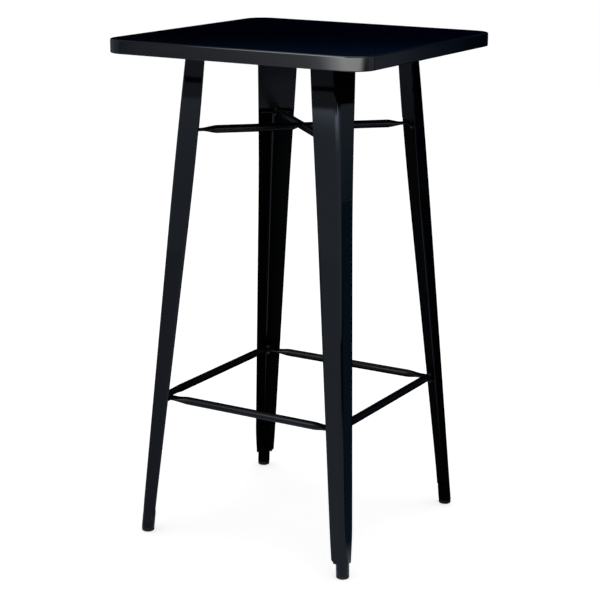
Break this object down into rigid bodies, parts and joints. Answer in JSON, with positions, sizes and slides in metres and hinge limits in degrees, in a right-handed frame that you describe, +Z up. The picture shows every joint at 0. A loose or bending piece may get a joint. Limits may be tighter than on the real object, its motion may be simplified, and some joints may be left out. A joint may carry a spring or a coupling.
{
  "type": "pub table",
  "caption": "Tall square pub table of black pressed steel with splayed angle-section legs, a cross brace under the top and a ring of foot rails.",
  "frame": {"origin": "on the floor under the middle of the top", "axes": "+Z up; +X and +Y along the sides of the square top"},
  "size_m": [0.6, 0.6, 1.07],
  "materials": {
    "top_coat": "gloss black powder coat",
    "leg_coat": "gloss black powder coat",
    "rod_coat": "gloss black powder coat",
    "hidden_coat": "satin black powder coat",
    "black_fastener": "black zinc plate",
    "foot_rubber": "matt black"
  },
  "bodies": {
    "root": {"brace_bolts": "black_fastener", "brace_gusset_back": "hidden_coat", "brace_gusset_front": "hidden_coat", "brace_gusset_left": "hidden_coat", "brace_gusset_right": "hidden_coat", "brace_nuts": "black_fastener", "brace_rod_back_front": "rod_coat", "brace_rod_left_right": "rod_coat", "foot_rail_back_left": "rod_coat", "foot_rail_back_right": "rod_coat", "foot_rail_front_left": "rod_coat", "foot_rail_front_right": "rod_coat", "leg_back": "leg_coat", "leg_bolts": "black_fastener", "leg_front": "leg_coat", "leg_head_plate_back": "hidden_coat", "leg_head_plate_front": "hidden_coat", "leg_head_plate_left": "hidden_coat", "leg_head_plate_right": "hidden_coat", "leg_left": "leg_coat", "leg_right": "leg_coat", "leg_web_back": "leg_coat", "leg_web_front": "leg_coat", "leg_web_left": "leg_coat", "leg_web_right": "leg_coat", "leg_weld_nuts": "black_fastener", "rail_bolts": "black_fastener", "rail_gusset_back": "hidden_coat", "rail_gusset_front": "hidden_coat", "rail_gusset_left": "hidden_coat", "rail_gusset_right": "hidden_coat", "rail_nuts": "black_fastener", "rubber_foot_back": "foot_rubber", "rubber_foot_front": "foot_rubber", "rubber_foot_left": "foot_rubber", "rubber_foot_right": "foot_rubber", "table_top": "top_coat", "top_channel_back": "hidden_coat", "top_channel_front": "hidden_coat"}
  },
  "joints": []
}
